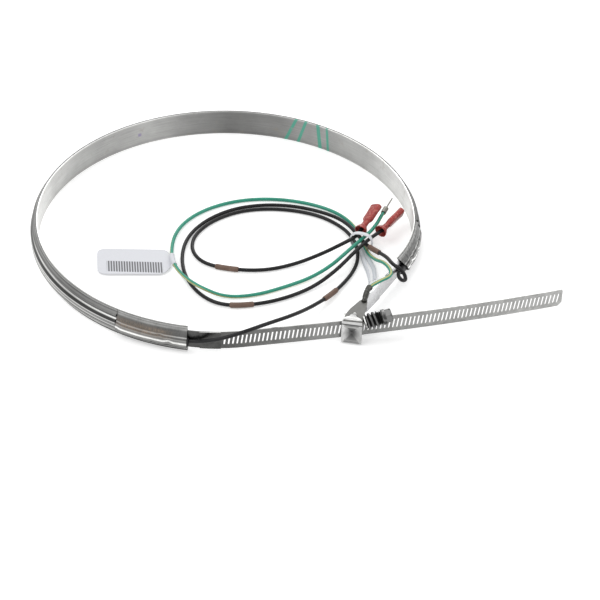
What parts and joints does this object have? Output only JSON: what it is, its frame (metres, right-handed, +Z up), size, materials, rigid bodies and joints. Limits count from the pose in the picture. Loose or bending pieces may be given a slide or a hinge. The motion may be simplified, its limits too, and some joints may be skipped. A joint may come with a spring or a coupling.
{
  "type": "band heater",
  "caption": "Belly-band heater: open steel ring with a heating cord, slotted strap clamp, worm screw and bundled leads.",
  "frame": {"origin": "on the ring's axis, level with the lower edge of the band that rests on the table", "axes": "+Z up along the ring's axis, +X to the right towards the strap's free end, +Y to the back of the ring"},
  "size_m": [0.3482, 0.2629, 0.0258],
  "materials": {
    "steel": "satin",
    "strap_steel": "satin",
    "housing_steel": "satin",
    "screw_steel": "satin",
    "lug_steel": "satin",
    "silicone": "matte",
    "core_wire": "satin",
    "crimp_copper": "satin",
    "lead_silicone": "satin",
    "green_insulation": "gloss",
    "sleeve_brown": "matte",
    "boot_red": "gloss",
    "terminal_tin": "satin",
    "tie_white": "matte",
    "tag_paper": "matte"
  },
  "bodies": {
    "heater": {"anchor_doubler": "strap_steel", "anchor_strap": "strap_steel", "cable_tie": "tie_white", "clamp_housing": "housing_steel", "ground_lug": "lug_steel", "ground_terminal": "terminal_tin", "ground_wire": "green_insulation", "heating_core": "core_wire", "heating_sheath": "silicone", "inner_band": "steel", "left_boot": "boot_red", "left_bundle_sleeve": "sleeve_brown", "left_end_cover": "steel", "left_front_sleeve": "sleeve_brown", "left_lead": "lead_silicone", "left_plug": "silicone", "left_receptacle": "terminal_tin", "left_splice": "crimp_copper", "outer_channel": "steel", "right_boot": "boot_red", "right_bundle_sleeve": "sleeve_brown", "right_end_cover": "steel", "right_front_sleeve": "sleeve_brown", "right_lead": "lead_silicone", "right_plug": "silicone", "right_receptacle": "terminal_tin", "right_splice": "crimp_copper", "slotted_strap": "strap_steel", "strap_doubler": "strap_steel", "tag": "tag_paper"},
    "screw": {"worm_screw": "screw_steel"}
  },
  "joints": [
    {"name": "screw_turn", "type": "hinge", "parent": "heater", "child": "screw", "pos_m": [0.0924, -0.1139, 0.0171], "axis": [0.9465, 0.2247, 0.2315], "continuous": true}
  ]
}
